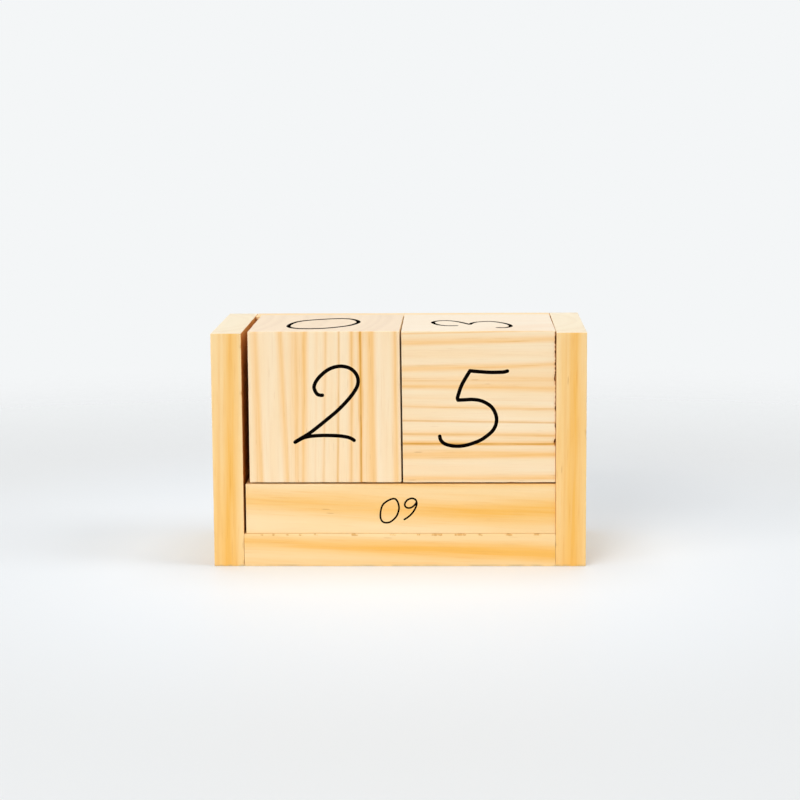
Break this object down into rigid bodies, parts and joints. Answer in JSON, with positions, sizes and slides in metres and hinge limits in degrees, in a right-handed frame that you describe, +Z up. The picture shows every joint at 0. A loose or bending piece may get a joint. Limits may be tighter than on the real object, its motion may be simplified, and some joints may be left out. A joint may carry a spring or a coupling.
{
  "type": "cube desk calendar",
  "caption": "Perpetual desk calendar: a dowelled pine holder with loose month bars side by side and loose number cubes resting on them.",
  "frame": {"origin": "on the table, under the middle of the holder", "axes": "+X to the right along the width, +Y from the front to the back board, +Z up"},
  "size_m": [0.1222, 0.0604, 0.0778],
  "materials": {
    "side_pine": "sanded, unvarnished",
    "base_pine": "sanded, unvarnished",
    "back_pine": "sanded, unvarnished",
    "bar_pine": "sanded, unvarnished",
    "cube_pine": "sanded, unvarnished",
    "dowel_beech": "fluted, plain",
    "number_ink": "matt black print"
  },
  "bodies": {
    "holder": {"left_side_board": "side_pine", "right_side_board": "side_pine", "base_board": "base_pine", "back_board": "back_pine", "left_base_front_dowel": "dowel_beech", "left_base_rear_dowel": "dowel_beech", "left_back_lower_dowel": "dowel_beech", "left_back_upper_dowel": "dowel_beech", "right_base_front_dowel": "dowel_beech", "right_base_rear_dowel": "dowel_beech", "right_back_lower_dowel": "dowel_beech", "right_back_upper_dowel": "dowel_beech"},
    "rear_bar": {"rear_month_bar": "bar_pine"},
    "middle_bar": {"middle_month_bar": "bar_pine"},
    "front_bar": {"front_month_bar": "bar_pine"},
    "left_cube": {"left_number_cube": "cube_pine"},
    "right_cube": {"right_number_cube": "cube_pine"}
  },
  "joints": [
    {"name": "left_cube_lift", "type": "slide", "parent": "holder", "child": "left_cube", "axis": [0, 0, 1], "range_m": [0, 0.055]},
    {"name": "right_cube_lift", "type": "slide", "parent": "holder", "child": "right_cube", "axis": [0, 0, 1], "range_m": [0, 0.055]},
    {"name": "rear_bar_slide", "type": "slide", "parent": "holder", "child": "rear_bar", "axis": [0, -1, 0], "range_m": [0, 0.0515]},
    {"name": "middle_bar_slide", "type": "slide", "parent": "rear_bar", "child": "middle_bar", "axis": [0, -1, 0], "range_m": [0, 0.0345]},
    {"name": "front_bar_slide", "type": "slide", "parent": "middle_bar", "child": "front_bar", "axis": [0, -1, 0], "range_m": [0, 0.0175]}
  ]
}
